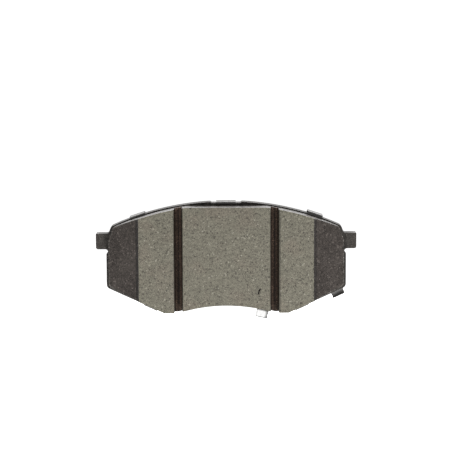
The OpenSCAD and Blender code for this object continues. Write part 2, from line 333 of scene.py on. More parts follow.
@dataclass(frozen=True)
class PadOutline:
    """The pad's outline, shared by the plate, the friction block and the shims. Sizes in millimetres."""

    overall_w: float = 138.0
    body_w: float = 127.0
    crest_y: float = 30.0
    top_r: float = 148.0
    lower_r: float = 84.0
    lower_crest_y: float = 25.0
    toe_y: float = 29.0
    slant: float = math.radians(24.7)
    slant_x: float = 53.5
    slant_y: float = 20.4
    recess_half_w: float = 7.6
    recess_depth: float = 0.8
    recess_r: float = 0.3
    ramp_r: float = 0.2
    ceiling_r: float = 2.0
    shoulder_r: float = 3.0
    shoulder_lean: float = math.radians(70)
    shoulder_foot_in: float = 1.2
    shoulder_room: float = 4.0
    hip_r: float = 4.0
    lower_corner_r: float = 2.5
    toe_r: float = 1.0
    toe_end_r: float = 0.5
    ear_h: float = 8.35
    ear_y: float = 4.7
    ear_fillet_r: float = 1.4
    ear_edge_r: float = 0.35
    ear_corner_r: float = 1.2
    relief_r: float = 1.3
    relief_out: float = 0.45
    relief_steps: int = 10
    step: float = 1.5

    def _top(self, x: float, margin: float) -> float:
        """Height of the top arc at x, moved in by a margin."""
        return self.crest_y - self.top_r + math.sqrt((self.top_r - margin) ** 2 - x * x)

    def _shoulder(self, top: float, side: float) -> tuple[Point, Point]:
        """Finds the ends of the shoulder's slanted line.

        Args:
            top: Margin along the top arc.
            side: Margin along the sides.

        Returns:
            Where the line meets the top arc, and where it meets the side.
        """
        way = Vector((-math.cos(self.shoulder_lean), math.sin(self.shoulder_lean)))
        out = Vector((math.sin(self.shoulder_lean), math.cos(self.shoulder_lean)))
        foot = Vector((self.body_w / 2 - self.shoulder_foot_in, self.ear_y + self.ear_h)) - out * side
        arm = foot - Vector((0, self.crest_y - self.top_r))
        reach = -arm.dot(way) + math.sqrt(arm.dot(way) ** 2 - arm.dot(arm) + (self.top_r - top) ** 2)
        drop = (foot.x - (self.body_w / 2 - side)) / math.cos(self.shoulder_lean)
        return tuple(foot + way * reach), tuple(foot + way * drop)

    def _top_half(self, margin: float, end: float, ceiling: float | None) -> list[Corner]:
        """Follows the top edge from the middle outwards.

        Args:
            margin: Margin along the top arc.
            end: Where the path stops along X.
            ceiling: Height of a level cut through the arc, if there is one.

        Returns:
            The corners in order.
        """
        start = 0.0
        path: list[Corner] = []
        if ceiling is not None:
            centre_y = self.crest_y - self.top_r
            start = math.sqrt((self.top_r - margin) ** 2 - (ceiling - centre_y) ** 2)
            path = [(0, ceiling, 0), (start, ceiling, self.ceiling_r)]
            start += 2 * self.step
        count = max(2, round((end - start) / self.step))
        xs = [start + (end - start) * i / count for i in range(count + 1)]
        return path + [(x, self._top(x, margin), 0) for x in xs]

    def _lower_half(self, side: float, slant: float, lower: float) -> list[Corner]:
        """Follows the lower edge from the side's corner, by the slant and the toe, to the middle.

        Args:
            side: Margin along the sides.
            slant: Margin along the slanted edges.
            lower: Margin along the toes and the lower arc.

        Returns:
            The corners in order.
        """
        edge_x = self.slant_x - math.sin(self.slant) * slant
        edge_y = -self.slant_y + math.cos(self.slant) * slant
        side_x = self.body_w / 2 - side
        toe = -self.toe_y + lower
        centre_y = -self.lower_crest_y - self.lower_r
        radius = self.lower_r + lower
        toe_end = math.sqrt(radius**2 - (toe - centre_y) ** 2)
        rise = math.tan(self.slant)
        path = [
            (side_x, edge_y + (side_x - edge_x) * rise, self.lower_corner_r),
            (edge_x + (toe - edge_y) / rise, toe, self.toe_r),
            (toe_end, toe, self.toe_end_r),
        ]
        start = toe_end - self.step
        count = round(start / self.step)
        for index in range(count + 1):
            x = start * (1 - index / count)
            path.append((x, centre_y + math.sqrt(radius**2 - x * x), 0))
        return path

    @staticmethod
    def _whole(half: Sequence[Corner]) -> list[Point]:
        """Mirrors the right half, which starts and ends on the middle line, and rounds its corners."""
        left = [(-x, y, r) for x, y, r in reversed(half[1:-1])]
        return rounded([*half, *left])

    def body(
        self, top: float, side: float, slant: float, lower: float, ceiling: float | None = None
    ) -> list[Point]:
        """The body's outline without ears.

        Args:
            top: Margin along the top arc.
            side: Margin along the sides.
            slant: Margin along the slanted edges.
            lower: Margin along the toes and the lower arc.
            ceiling: Height of a level cut through the top arc, if there is one.

        Returns:
            The closed outline.
        """
        shoulder, hip = self._shoulder(top, side)
        half = self._top_half(top, shoulder[0] - self.shoulder_room, ceiling)
        half += [(*shoulder, self.shoulder_r), (*hip, self.hip_r)]
        return self._whole(half + self._lower_half(side, slant, lower))

    def plate(self) -> list[Point]:
        """Draws the whole plate, with the crest's recess, the ears and their reliefs.

        Returns:
            The closed outline.
        """
        shoulder, _ = self._shoulder(0, 0)
        tip = self.overall_w / 2
        ear_top = self.ear_y + self.ear_h
        floor = self.crest_y - self.recess_depth
        ramp = self.recess_half_w + self.recess_depth
        half: list[Corner] = [(0, floor, 0), (self.recess_half_w, floor, self.recess_r)]
        half.append((ramp, self._top(ramp, 0), self.ramp_r))
        arc = self._top_half(0, shoulder[0] - self.shoulder_room, None)
        half += [corner for corner in arc if corner[0] > ramp + 0.5]
        half += [
            (*shoulder, self.shoulder_r),
            (self.body_w / 2 - self.shoulder_foot_in, ear_top, self.ear_fillet_r),
            (tip, ear_top, self.ear_edge_r),
            (tip, self.ear_y, self.ear_corner_r),
        ]
        middle = Vector((self.body_w / 2 + self.relief_out, self.ear_y - self.relief_r))
        end = math.pi * 1.5 - math.asin(self.relief_out / self.relief_r)
        for index in range(self.relief_steps + 1):
            angle = math.pi / 2 + (end - math.pi / 2) * index / self.relief_steps
            arm = Vector((math.cos(angle), math.sin(angle))) * self.relief_r
            half.append((*(middle + arm), 0))
        return self._whole(half + self._lower_half(0, 0, 0))


OUTLINE = PadOutline()


class Graph:
    """Adds nodes to one shader tree and wires them. The four numbers are a colour mix node's sockets."""

    MIX_FACTOR = 0
    MIX_FIRST = 6
    MIX_SECOND = 7
    MIX_COLOUR = 2

    def __init__(self, tree: bpy.types.NodeTree) -> None:
        """Keeps the tree that every call adds to."""
        self.tree = tree

    def feed(self, socket: bpy.types.NodeSocket, value: object) -> None:
        """Links a source to a socket, or sets the socket to a plain value.

        Args:
            socket: The input that is fed.
            value: The source socket or the value.
        """
        if isinstance(value, bpy.types.NodeSocket):
            self.tree.links.new(value, socket)
        else:
            socket.default_value = value

    def add(self, kind: str, inputs: dict | None = None, **settings: object) -> bpy.types.Node:
        """Adds one node.

        Args:
            kind: The node's type, without the ShaderNode prefix.
            inputs: Value or source socket for each input, by name or index.
            settings: Properties set on the node itself.

        Returns:
            The node.
        """
        node = self.tree.nodes.new("ShaderNode" + kind)
        for name, value in settings.items():
            setattr(node, name, value)
        for key, value in (inputs or {}).items():
            self.feed(node.inputs[key], value)
        return node

    def math(self, operation: str, *values: object) -> bpy.types.NodeSocket:
        """Result of one maths step on sockets or numbers."""
        return self.add("Math", dict(enumerate(values)), operation=operation).outputs[0]

    def remap(
        self, value: object, low: float, high: float, to_low: float = 0.0, to_high: float = 1.0
    ) -> bpy.types.NodeSocket:
        """Smooth ramp of a value from one range to another."""
        inputs = {0: value, 1: low, 2: high, 3: to_low, 4: to_high}
        return self.add("MapRange", inputs, interpolation_type="SMOOTHSTEP").outputs[0]

    def mix(self, factor: object, first: object, second: object) -> bpy.types.NodeSocket:
        """Blends two colours.

        Args:
            factor: Share of the second colour.
            first: The first colour.
            second: The second colour.

        Returns:
            The blend.
        """
        inputs = {self.MIX_FACTOR: factor, self.MIX_FIRST: first, self.MIX_SECOND: second}
        return self.add("Mix", inputs, data_type="RGBA").outputs[self.MIX_COLOUR]

    def scale(self, colour: object, value: object) -> bpy.types.NodeSocket:
        """Makes a colour brighter or darker.

        Args:
            colour: The colour, or a socket that gives it.
            value: The factor.

        Returns:
            The changed colour.
        """
        start = colour if isinstance(colour, bpy.types.NodeSocket) else colour[:3]
        return self.add("VectorMath", {0: start, "Scale": value}, operation="SCALE").outputs[0]

    def noise(self, where: object, grain: float, detail: float = 2.0) -> bpy.types.NodeSocket:
        """Noise value with features about grain millimetres across."""
        inputs = {"Vector": where, "Scale": 1 / (grain * MM), "Detail": detail}
        return self.add("TexNoise", inputs).outputs[0]

    def group(self, tree: bpy.types.NodeTree, inputs: dict) -> bpy.types.Node:
        """Places a node group with its own values."""
        return self.add("Group", inputs, node_tree=tree)


def shared_group(
    name: str, inputs: dict[str, float | None], outputs: Sequence[str], wire: Callable[..., dict]
) -> bpy.types.NodeTree:
    """Makes a shader node group once.

    Args:
        name: The group's name.
        inputs: Each input with its default, or None for a vector.
        outputs: Names of the value outputs.
        wire: Takes the graph and the input sockets, and gives a socket for each output.

    Returns:
        The group, the same one at every call.
    """
    if name in bpy.data.node_groups:
        return bpy.data.node_groups[name]
    tree = bpy.data.node_groups.new(name, "ShaderNodeTree")
    for key, value in inputs.items():
        kind = "NodeSocketVector" if value is None else "NodeSocketFloat"
        socket = tree.interface.new_socket(key, in_out="INPUT", socket_type=kind)
        if value is not None:
            socket.default_value = value
    for key in outputs:
        tree.interface.new_socket(key, in_out="OUTPUT", socket_type="NodeSocketFloat")
    entry = tree.nodes.new("NodeGroupInput")
    leave = tree.nodes.new("NodeGroupOutput")
    made = wire(Graph(tree), entry.outputs)
    for key, socket in made.items():
        tree.links.new(socket, leave.inputs[key])
    return tree


def speckle_group() -> bpy.types.NodeTree:
    """Makes a mask of separate particles of uneven size.

    Returns:
        The group.
    """

    def wire(graph: Graph, given: bpy.types.NodeOutputs) -> dict:
        """Keeps a share of the cells, each fading out from its centre.

        Args:
            graph: The group's graph.
            given: The group's own inputs.

        Returns:
            A socket for each output.
        """
        stir = graph.add("TexNoise", {"Vector": given["Where"], "Scale": 900.0, "Detail": 1.0})
        offset = graph.scale(stir.outputs["Color"], 0.0006)
        where = graph.add("VectorMath", {0: given["Where"], 1: offset}, operation="ADD").outputs[0]
        cells = graph.add("TexVoronoi", {"Vector": where, "Scale": given["Scale"]})
        shade = graph.add("SeparateColor", {0: cells.outputs["Color"]})
        chosen = graph.math("LESS_THAN", shade.outputs[0], given["Share"])
        size = graph.math("MULTIPLY_ADD", shade.outputs[1], 0.35, 0.25)
        near = graph.math("DIVIDE", cells.outputs["Distance"], size)
        body = graph.remap(near, 1.15, 0.7)
        return {"Mask": graph.math("MULTIPLY", chosen, body)}

    inputs = {"Where": None, "Scale": 1000.0, "Share": 0.2}
    return shared_group("speckle", inputs, ["Mask"], wire)


def paint_group() -> bpy.types.NodeTree:
    """Makes the tone, roughness and height of baked paint over a rough ground.

    Returns:
        The group.
    """

    def wire(graph: Graph, given: bpy.types.NodeOutputs) -> dict:
        """Adds up orange peel, raised grains under the paint and slow changes of sheen.

        Args:
            graph: The group's graph.
            given: The group's own inputs.

        Returns:
            A socket for each output.
        """
        where = given["Where"]
        peel = graph.noise(where, 0.42, 3.0)
        lumps = graph.noise(where, 1.6, 2.0)
        slow = graph.noise(where, 9.0, 2.0)
        dots = graph.group(speckle_group(), {"Where": where, "Scale": 1300.0, "Share": given["Grains"]})
        tone = graph.math("MULTIPLY_ADD", graph.remap(peel, 0.32, 0.68), 1.2, 0.12)
        tone = graph.math("MULTIPLY_ADD", graph.remap(lumps, 0.3, 0.7), 0.35, tone)
        tone = graph.math("MULTIPLY_ADD", graph.remap(slow, 0.3, 0.7), 0.25, tone)
        tone = graph.math("MULTIPLY_ADD", dots.outputs[0], 1.3, tone)
        rough = graph.math("MULTIPLY_ADD", slow, 0.16, given["Roughness"])
        rough = graph.math("MULTIPLY_ADD", peel, 0.1, rough)
        height = graph.math("MULTIPLY_ADD", lumps, 0.7, peel)
        height = graph.math("MULTIPLY_ADD", dots.outputs[0], 0.5, height)
        return {"Tone": tone, "Roughness": rough, "Height": height}

    inputs = {"Where": None, "Grains": 0.05, "Roughness": 0.4}
    return shared_group("paint", inputs, ["Tone", "Roughness", "Height"], wire)


def edge_wear_and_highlight_group() -> bpy.types.NodeTree:
    """Makes a mask of the edges, broken up by noise: edge wear, and on the compound a painted highlight.

    Returns:
        The group.
    """

    def wire(graph: Graph, given: bpy.types.NodeOutputs) -> dict:
        """Compares the true normal with one averaged over a small radius.

        Args:
            graph: The group's graph.
            given: The group's own inputs.

        Returns:
            A socket for each output.
        """
        soft = graph.add("Bevel", {"Radius": given["Radius"]}, samples=4).outputs[0]
        plain = graph.add("NewGeometry").outputs["Normal"]
        same = graph.add("VectorMath", {0: soft, 1: plain}, operation="DOT_PRODUCT")
        edge = graph.remap(same.outputs["Value"], 0.995, 0.9)
        broken = graph.remap(graph.noise(given["Where"], 1.2, 4.0), 0.42, 0.6)
        return {"Mask": graph.math("MULTIPLY", edge, broken)}

    return shared_group("edge_wear_and_highlight", {"Where": None, "Radius": 0.0003}, ["Mask"], wire)


def streak_group() -> bpy.types.NodeTree:
    """Makes fine parallel lines, as rolling, brushing and grinding leave them.

    Returns:
        The group.
    """

    def wire(graph: Graph, given: bpy.types.NodeOutputs) -> dict:
        """Squeezes noise along one axis by the given vector.

        Args:
            graph: The group's graph.
            given: The group's own inputs.

        Returns:
            A socket for each output.
        """
        where = graph.add("VectorMath", {0: given["Where"], 1: given["Squeeze"]}, operation="MULTIPLY")
        fine = graph.noise(where.outputs[0], 0.25, 3.0)
        broad = graph.noise(where.outputs[0], 1.1, 2.0)
        return {"Fine": graph.remap(fine, 0.3, 0.7), "Broad": graph.remap(broad, 0.3, 0.7)}

    return shared_group("streaks", {"Where": None, "Squeeze": None}, ["Fine", "Broad"], wire)


class Finish:
    """Base of every finish: a named material with a Principled shader at its end."""

    name: str

    def start(self) -> tuple[Graph, bpy.types.Node, bpy.types.NodeSocket, bpy.types.Material]:
        """Makes an empty material.

        Returns:
            Its graph, its shader, the object coordinates and the material.
        """
        material = bpy.data.materials.new(self.name)
        material.use_nodes = True
        graph = Graph(material.node_tree)
        shader = material.node_tree.nodes["Principled BSDF"]
        where = graph.add("TexCoord").outputs["Object"]
        return graph, shader, where, material

    @staticmethod
    def plug(graph: Graph, shader: bpy.types.Node, colour: object, rough: object) -> None:
        """Feeds a colour and a roughness to the shader."""
        graph.tree.links.new(colour, shader.inputs["Base Color"])
        graph.tree.links.new(rough, shader.inputs["Roughness"])

    @staticmethod
    def bump(graph: Graph, shader: bpy.types.Node, height: object, depth: float) -> None:
        """Gives the shader a bump of about depth millimetres."""
        node = graph.add("Bump", {"Height": height, "Distance": depth * MM, "Strength": 1.0})
        graph.tree.links.new(node.outputs[0], shader.inputs["Normal"])


@dataclass(frozen=True)
class PaintFinish(Finish):
    """Baked black paint on steel, greyer along its edges where the paint wears."""

    name: str
    colour: Colour
    wear_and_highlight: Colour
    roughness: float = 0.38
    grains: float = 0.06
    depth: float = 0.02
    specular: float = 0.5
    wear_and_highlight_w: float = 0.25

    def material(self) -> bpy.types.Material:
        """Builds the painted material.

        Returns:
            The material.
        """
        graph, shader, where, material = self.start()
        inputs = {"Where": where, "Grains": self.grains, "Roughness": self.roughness}
        paint = graph.group(paint_group(), inputs)
        wear = graph.group(edge_wear_and_highlight_group(), {"Where": where, "Radius": self.wear_and_highlight_w * MM})
        colour = graph.scale(self.colour, paint.outputs["Tone"])
        colour = graph.mix(wear.outputs[0], colour, self.wear_and_highlight)
        self.plug(graph, shader, colour, paint.outputs["Roughness"])
        self.bump(graph, shader, paint.outputs["Height"], self.depth)
        shader.inputs["Specular IOR Level"].default_value = self.specular
        return material


@dataclass(frozen=True)
class CompoundFinish(Finish):
    """Moulded friction compound: raw on its ground face, painted black everywhere else.

    Lengths are in millimetres. Each slot's floor carries a brown track with a dark groove along it.
    """

    name: str
    ground_z: float
    face_half_w: float
    slots: tuple[float, float]
    slot_half_w: float
    raw: Colour = (0.151, 0.142, 0.111, 1)
    raw_brown: Colour = (0.154, 0.1385, 0.109, 1)
    raw_dark: Colour = (0.045, 0.042, 0.034, 1)
    raw_light: Colour = (0.42, 0.40, 0.33, 1)
    raw_matt: float = 0.34
    paint: Colour = (0.047, 0.040, 0.0355, 1)
    roughness: float = 0.2
    specular: float = 0.2
    grains: float = 0.15
    depth: float = 0.06
    # edge colour: edge wear, plus a painted highlight where the edges catch light
    wear_and_highlight: Colour = (0.16, 0.15, 0.138, 1)
    wear_and_highlight_w: float = 1.0
    rub_and_highlight: float = 0.85
    slot: Colour = (0.034, 0.023, 0.0165, 1)
    slot_brown: Colour = (0.128, 0.085, 0.061, 1)
    slot_end: tuple[float, float] = (-28.0, -21.0)
    slot_end_tone: float = 0.35
    track_half_w: float = 1.35
    groove_half_w: float = 0.1
    groove_depth: float = 0.7
    mouth_w: float = 1.0
    mouth_fade: float = 0.15
    # painted shade on the chamfered strip beside the right slot
    mouth_shade: float = -0.25
    border_noise: float = 0.5
    border_out: float = 0.32
    border_in: float = 0.22
    ground_depth: float = 0.8
    slot_fade: float = 0.3
    pit_start: float = 0.1
    pit_end: float = 0.5
    # darkening in the pits: painted shade, and black paint left in them
    pit_shade_and_paint: float = 0.85
    # painted shade on the chamfers' steep steps, darker on the left step
    step_shade: float = 0.5
    left_step_shade: float = 0.72

    def _ground_mask(
        self, graph: Graph, where: bpy.types.NodeSocket, place: bpy.types.Node, facing: bpy.types.Node
    ) -> bpy.types.NodeSocket:
        """Masks the ground face, with a slightly uneven border at the end chamfers.

        Args:
            graph: The material's graph.
            where: Object coordinates.
            place: Their separate axes.
            facing: The surface normal's separate axes.

        Returns:
            The mask.
        """
        uneven = graph.math("MULTIPLY", graph.noise(where, 1.5, 4.0), self.border_noise * MM)
        across = graph.math("ADD", graph.math("ABSOLUTE", place.outputs[0]), uneven)
        outer, inner = self.face_half_w + self.border_out, self.face_half_w + self.border_in
        inside = graph.remap(across, outer * MM, inner * MM)
        high = graph.math("GREATER_THAN", place.outputs[2], (self.ground_z - self.ground_depth) * MM)
        level = graph.remap(facing.outputs[2], 0.45, 0.95)
        return graph.math("MULTIPLY", graph.math("MULTIPLY", inside, high), level)

    def _slot_mask(self, graph: Graph, place: bpy.types.Node, half: float) -> bpy.types.NodeSocket:
        """Masks a strip along the middle of each slot.

        Args:
            graph: The material's graph.
            place: The separate axes of the object coordinates.
            half: Half the strip's width in millimetres.

        Returns:
            The mask.
        """
        masks = []
        for middle in self.slots:
            off = graph.math("ABSOLUTE", graph.math("SUBTRACT", place.outputs[0], middle * MM))
            masks.append(graph.remap(off, (half + self.slot_fade) * MM, half * MM))
        return graph.math("MAXIMUM", *masks)

    def _raw(
        self, graph: Graph, where: bpy.types.NodeSocket, place: bpy.types.Node
    ) -> tuple[bpy.types.NodeSocket, bpy.types.NodeSocket]:
        """Mixes the ground compound, with painted shade and left-over paint in its pits and painted shade
        on a strip beside the right slot.

        Args:
            graph: The material's graph.
            where: Object coordinates.
            place: Their separate axes.

        Returns:
            Its colour and its height.
        """
        fine = graph.noise(where, 0.34, 3.0)
        middle = graph.noise(where, 1.3, 2.0)
        slow = graph.noise(where, 16.0, 3.0)
        lines = graph.group(streak_group(), {"Where": where, "Squeeze": (0.12, 0.8, 1.0)})
        tone = graph.math("MULTIPLY_ADD", graph.remap(fine, 0.32, 0.68), 1.05, 0.34)
        tone = graph.math("MULTIPLY_ADD", graph.remap(middle, 0.3, 0.7), 0.3, tone)
        tone = graph.math("MULTIPLY_ADD", lines.outputs["Broad"], 0.1, tone)
        base = graph.mix(graph.remap(slow, 0.48, 0.68), self.raw, self.raw_brown)
        colour = graph.scale(base, tone)
        dark = graph.group(speckle_group(), {"Where": where, "Scale": 1150.0, "Share": 0.2})
        turned = graph.add("Mapping", {"Vector": where, "Rotation": (0.3, 0.5, 1.1)}).outputs[0]
        light = graph.group(speckle_group(), {"Where": turned, "Scale": 1250.0, "Share": 0.06})
        colour = graph.mix(graph.math("MULTIPLY", dark.outputs[0], 0.7), colour, self.raw_dark)
        colour = graph.mix(graph.math("MULTIPLY", light.outputs[0], 0.5), colour, self.raw_light)
        height = graph.math("MULTIPLY_ADD", dark.outputs[0], -0.9, fine)
        height = graph.math("MULTIPLY_ADD", light.outputs[0], 0.4, height)
        height = graph.math("MULTIPLY_ADD", lines.outputs["Fine"], 0.15, height)
        # darker the deeper the face lies below its ground level: painted shade in the pits, and black
        # paint left in them
        start, end = self.ground_z - self.pit_start, self.ground_z - self.pit_end
        low = graph.remap(place.outputs[2], start * MM, end * MM)
        colour = graph.mix(graph.math("MULTIPLY", low, self.pit_shade_and_paint), colour, self.raw_dark)
        # painted shade on the wide chamfered edge to the right of the right slot
        edge = (self.slots[1] + self.slot_half_w) * MM
        over = graph.math("SUBTRACT", place.outputs[0], edge)
        far, near = self.mouth_w + self.mouth_fade, self.mouth_w - self.mouth_fade
        beside = graph.remap(over, far * MM, near * MM)
        mouth = graph.math("MULTIPLY", beside, graph.math("GREATER_THAN", over, 0.0))
        colour = graph.scale(colour, graph.math("MULTIPLY_ADD", mouth, self.mouth_shade, 1.0))
        return colour, height

    def _slot_floor(
        self, graph: Graph, where: bpy.types.NodeSocket, place: bpy.types.Node
    ) -> bpy.types.NodeSocket:
        """Colours the slots' floors, which get darker towards the lower end.

        Args:
            graph: The material's graph.
            where: Object coordinates.
            place: Their separate axes.

        Returns:
            The colour.
        """
        lines = graph.group(streak_group(), {"Where": where, "Squeeze": (0.8, 0.02, 0.8)})
        groove = self._slot_mask(graph, place, self.groove_half_w)
        groove = graph.math("MULTIPLY_ADD", groove, -self.groove_depth, 1.0)
        band = graph.math("MULTIPLY", self._slot_mask(graph, place, self.track_half_w), groove)
        band = graph.math("MULTIPLY", band, graph.remap(lines.outputs["Broad"], 0.0, 0.8, 0.5, 1.0))
        floor = graph.mix(band, self.slot, self.slot_brown)
        start, end = self.slot_end
        return graph.scale(
            floor, graph.remap(place.outputs[1], start * MM, end * MM, self.slot_end_tone, 1.0)
        )

    def _painted(
        self, graph: Graph, where: bpy.types.NodeSocket, place: bpy.types.Node, facing: bpy.types.Node
    ) -> bpy.types.NodeSocket:
        """Colours everything but the ground face: painted shade on the steep chamfer steps, darkest on
        the left one, and lighter along its edges from edge wear and a painted highlight.

        Args:
            graph: The material's graph.
            where: Object coordinates.
            place: Their separate axes.
            facing: The surface normal's separate axes.

        Returns:
            The colour, before the paint's own tone.
        """
        across = facing.outputs[0]
        # painted shade: sideways-facing steep steps darkened, the left one more, as if lit from the right
        steep = graph.remap(graph.math("ABSOLUTE", across), 0.4, 0.5, 1.0, self.step_shade)
        left = graph.remap(across, -0.4, -0.5, 1.0, self.left_step_shade)
        paint = graph.scale(self.paint, graph.math("MULTIPLY", steep, left))
        # lighter along the edges: edge wear, and a painted highlight where the edges catch light
        wear = graph.group(edge_wear_and_highlight_group(), {"Where": where, "Radius": self.wear_and_highlight_w * MM})
        rubbed_and_highlit = graph.math("MULTIPLY", wear.outputs[0], self.rub_and_highlight)
        cover = graph.mix(rubbed_and_highlit, paint, self.wear_and_highlight)
        slots = self._slot_mask(graph, place, self.slot_half_w)
        return graph.mix(slots, cover, self._slot_floor(graph, where, place))

    def material(self) -> bpy.types.Material:
        """Builds the two-part material.

        Returns:
            The material.
        """
        graph, shader, where, material = self.start()
        place = graph.add("SeparateXYZ", {0: where})
        facing = graph.add("SeparateXYZ", {0: graph.add("TexCoord").outputs["Normal"]})
        ground = self._ground_mask(graph, where, place, facing)
        raw, raw_height = self._raw(graph, where, place)
        inputs = {"Where": where, "Grains": self.grains, "Roughness": self.roughness}
        paint = graph.group(paint_group(), inputs)
        painted = self._painted(graph, where, place, facing)
        colour = graph.mix(ground, graph.scale(painted, paint.outputs["Tone"]), raw)
        rough = graph.math("MULTIPLY_ADD", ground, self.raw_matt, paint.outputs["Roughness"])
        gap = graph.math("SUBTRACT", raw_height, paint.outputs["Height"])
        height = graph.math("MULTIPLY_ADD", gap, ground, paint.outputs["Height"])
        self.plug(graph, shader, colour, rough)
        self.bump(graph, shader, height, self.depth)
        shader.inputs["Specular IOR Level"].default_value = self.specular
        return material


@dataclass(frozen=True)
class SheetFinish(Finish):
    """Thin sheet: rolled or plated metal, rubber or film, told apart by its values."""

    name: str
    colour: Colour
    stain: Colour
    metallic: float = 0.0
    roughness: float = 0.4
    squeeze: tuple[float, float, float] = (0.05, 1.0, 1.0)
    streaks: float = 0.2
    blotches: float = 0.3
    blotch_size: float = 6.0
    depth: float = 0.01

    def material(self) -> bpy.types.Material:
        """Builds the sheet's material.

        Returns:
            The material.
        """
        graph, shader, where, material = self.start()
        lines = graph.group(streak_group(), {"Where": where, "Squeeze": self.squeeze})
        grain = graph.noise(where, 0.4, 4.0)
        blotch = graph.remap(graph.noise(where, self.blotch_size, 4.0), 0.4, 0.65)
        tone = graph.math("MULTIPLY_ADD", lines.outputs["Fine"], self.streaks, 1 - self.streaks / 2)
        tone = graph.math("MULTIPLY_ADD", grain, 0.2, graph.math("SUBTRACT", tone, 0.1))
        stained = graph.math("MULTIPLY", blotch, self.blotches)
        colour = graph.mix(stained, graph.scale(self.colour, tone), self.stain)
        rough = graph.math("MULTIPLY_ADD", blotch, 0.15, self.roughness)
        rough = graph.math("MULTIPLY_ADD", lines.outputs["Broad"], 0.08, rough)
        self.plug(graph, shader, colour, rough)
        self.bump(graph, shader, graph.math("ADD", grain, lines.outputs["Fine"]), self.depth)
        shader.inputs["Metallic"].default_value = self.metallic
        return material


@dataclass(frozen=True)
class ZincFinish(Finish):
    """Bright zinc plating on the spring strip, with painted shade: grey along its sides and dark at the
    foot's tip.

    Lengths are in millimetres in the strip's own frame, which stands at the origin and leans.
    """

    name: str
    origin: Point
    lean: float
    half_w: float
    tip_y: float
    bright: Colour = (0.92, 0.92, 0.91, 1)
    stain: Colour = (0.72, 0.72, 0.70, 1)
    # colours of painted shade along the sides and at the foot's tip
    side_shade: Colour = (0.27, 0.27, 0.265, 1)
    tip_shade: Colour = (0.13, 0.13, 0.13, 1)
    side_shade_w: float = 2.0
    tip_shade_w: float = 0.9
    rim_shade_w: float = 0.55
    rim_shade: float = 0.95
    metallic: float = 0.3

    def material(self) -> bpy.types.Material:
        """Builds the plated material in the strip's own frame.

        Returns:
            The material.
        """
        graph, shader, where, material = self.start()
        place = {
            "Vector": where,
            "Location": (self.origin[0] * MM, self.origin[1] * MM, 0),
            "Rotation": (0, 0, self.lean),
        }
        own = graph.add("Mapping", place, vector_type="TEXTURE").outputs[0]
        axes = graph.add("SeparateXYZ", {0: own})
        lines = graph.group(streak_group(), {"Where": own, "Squeeze": (1.0, 0.08, 0.08)})
        blotch = graph.remap(graph.noise(own, 1.5, 4.0), 0.4, 0.65)
        base = graph.mix(graph.math("MULTIPLY", blotch, 0.25), self.bright, self.stain)
        # painted shade: grey along the right side, a grey rim on the left side and a dark band at the
        # foot's tip
        wavy = graph.math("SUBTRACT", graph.noise(own, 0.9, 3.0), 0.5)
        wavy = graph.math("MULTIPLY", wavy, 0.8 * MM)
        across = graph.math("ADD", axes.outputs[0], wavy)
        side = graph.remap(across, (self.half_w - self.side_shade_w) * MM, (self.half_w - 0.6) * MM)
        colour = graph.mix(side, base, self.side_shade)
        rim = graph.remap(axes.outputs[0], (self.rim_shade_w - self.half_w) * MM, -self.half_w * MM)
        colour = graph.mix(graph.math("MULTIPLY", rim, self.rim_shade), colour, self.side_shade)
        tip = graph.remap(axes.outputs[1], (self.tip_y + self.tip_shade_w) * MM, (self.tip_y + 0.1) * MM)
        colour = graph.mix(tip, colour, self.tip_shade)
        tone = graph.math("MULTIPLY_ADD", lines.outputs["Fine"], 0.12, 0.94)
        rough = graph.math("MULTIPLY_ADD", blotch, 0.15, 0.3)
        self.plug(graph, shader, graph.scale(colour, tone), rough)
        self.bump(graph, shader, graph.math("ADD", blotch, lines.outputs["Fine"]), 0.01)
        shader.inputs["Metallic"].default_value = self.metallic
        return material


def levels() -> dict[str, tuple[float, float]]:
    """Measures the frame.

    Returns:
        Lower and upper level of every node, in millimetres.
    """
    found = {}
    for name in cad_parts:
        low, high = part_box(name)
        found[name] = (low.z / MM, high.z / MM)
    return found


@dataclass
class BackingPlate:
    """The stamped steel plate with its two ears and four moulding holes."""

    rim_r: float = 0.1
    hole_r: float = 5.0
    holes: tuple[Point, ...] = ((-44, 2), (-16, 4), (16, 4), (44, 2))
    finish: PaintFinish = PaintFinish(
        "plate_paint",
        (0.047, 0.0425, 0.038, 1),
        (0.08, 0.075, 0.07, 1),
        roughness=0.3,
        specular=0.15,
    )

    def build(self, rivet: "WearIndicator") -> bpy.types.Object:
        """Makes the plate with rounded rims, its moulding holes and the rivet's hole.

        Args:
            rivet: The indicator whose rivet passes through the plate.

        Returns:
            The plate.
        """
        low, high = levels()["backing_plate"]
        plate = Solid.slab(OUTLINE.plate(), low, high).bevel(self.rim_r, 3, 60)
        x, y = rivet.rivet_place()
        sink = rivet.countersink
        holes = [Solid.disc(*hole, low - PAST, high + PAST, self.hole_r) for hole in self.holes]
        holes.append(Solid.disc(x, y, low - PAST, high + PAST, rivet.rivet_r))
        holes.append(Solid.disc(x, y, high - sink, high, rivet.rivet_r, rivet.rivet_r + sink))
        for hole in holes:
            plate.combine(hole, Join.DIFFERENCE)
        material = self.finish.material()
        return plate.deliver("plate", "plate_paint", material, "backing_plate")


